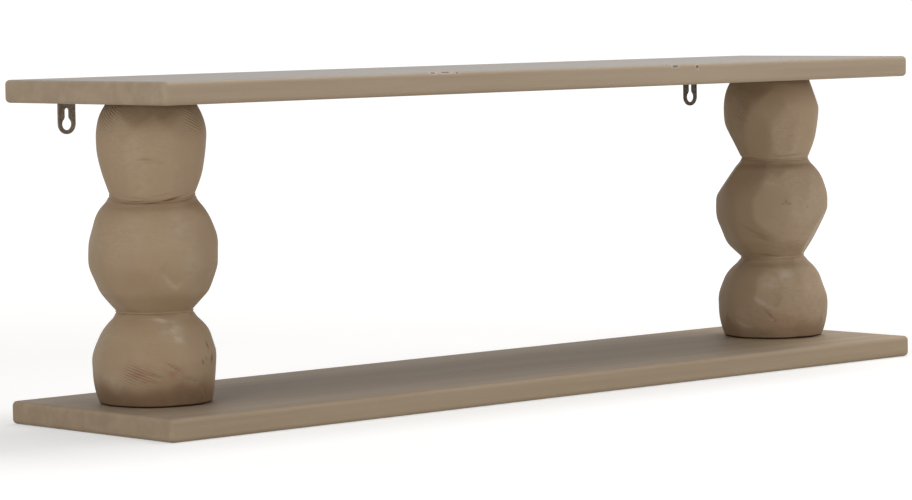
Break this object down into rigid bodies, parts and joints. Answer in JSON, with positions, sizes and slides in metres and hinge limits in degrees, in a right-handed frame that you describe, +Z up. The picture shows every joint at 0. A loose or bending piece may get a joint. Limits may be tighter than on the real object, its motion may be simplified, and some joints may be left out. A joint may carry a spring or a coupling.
{
  "type": "tiered shelf",
  "caption": "Wall shelf with an upper and a lower painted board held apart by hand-carved bobbin posts, with keyhole hanger plates below the back edge of the upper board.",
  "frame": {"origin": "middle of the footprint, on the underside of the bottom board", "axes": "+X along the boards to the viewer's right, +Y towards the wall, +Z up"},
  "size_m": [0.8, 0.19, 0.254],
  "materials": {
    "painted_wood": "satin taupe paint",
    "painted_plug": "satin taupe paint",
    "antique_bronze": "dark antique bronze plating, worn",
    "zinc_steel": "yellowed zinc plating"
  },
  "bodies": {
    "root": {"top_board": "painted_wood", "bottom_board": "painted_wood", "left_post": "painted_wood", "right_post": "painted_wood", "left_hanger_plate": "antique_bronze", "right_hanger_plate": "antique_bronze", "left_post_upper_screw_1": "zinc_steel", "left_post_upper_screw_2": "zinc_steel", "right_post_upper_screw_1": "zinc_steel", "right_post_upper_screw_2": "zinc_steel", "left_post_lower_screw_1": "zinc_steel", "left_post_lower_screw_2": "zinc_steel", "right_post_lower_screw_1": "zinc_steel", "right_post_lower_screw_2": "zinc_steel", "left_plug_1": "painted_plug", "left_plug_2": "painted_plug", "right_plug_1": "painted_plug", "right_plug_2": "painted_plug", "left_plate_screw_upper": "antique_bronze", "left_plate_screw_lower": "antique_bronze", "right_plate_screw_upper": "antique_bronze", "right_plate_screw_lower": "antique_bronze"}
  },
  "joints": []
}
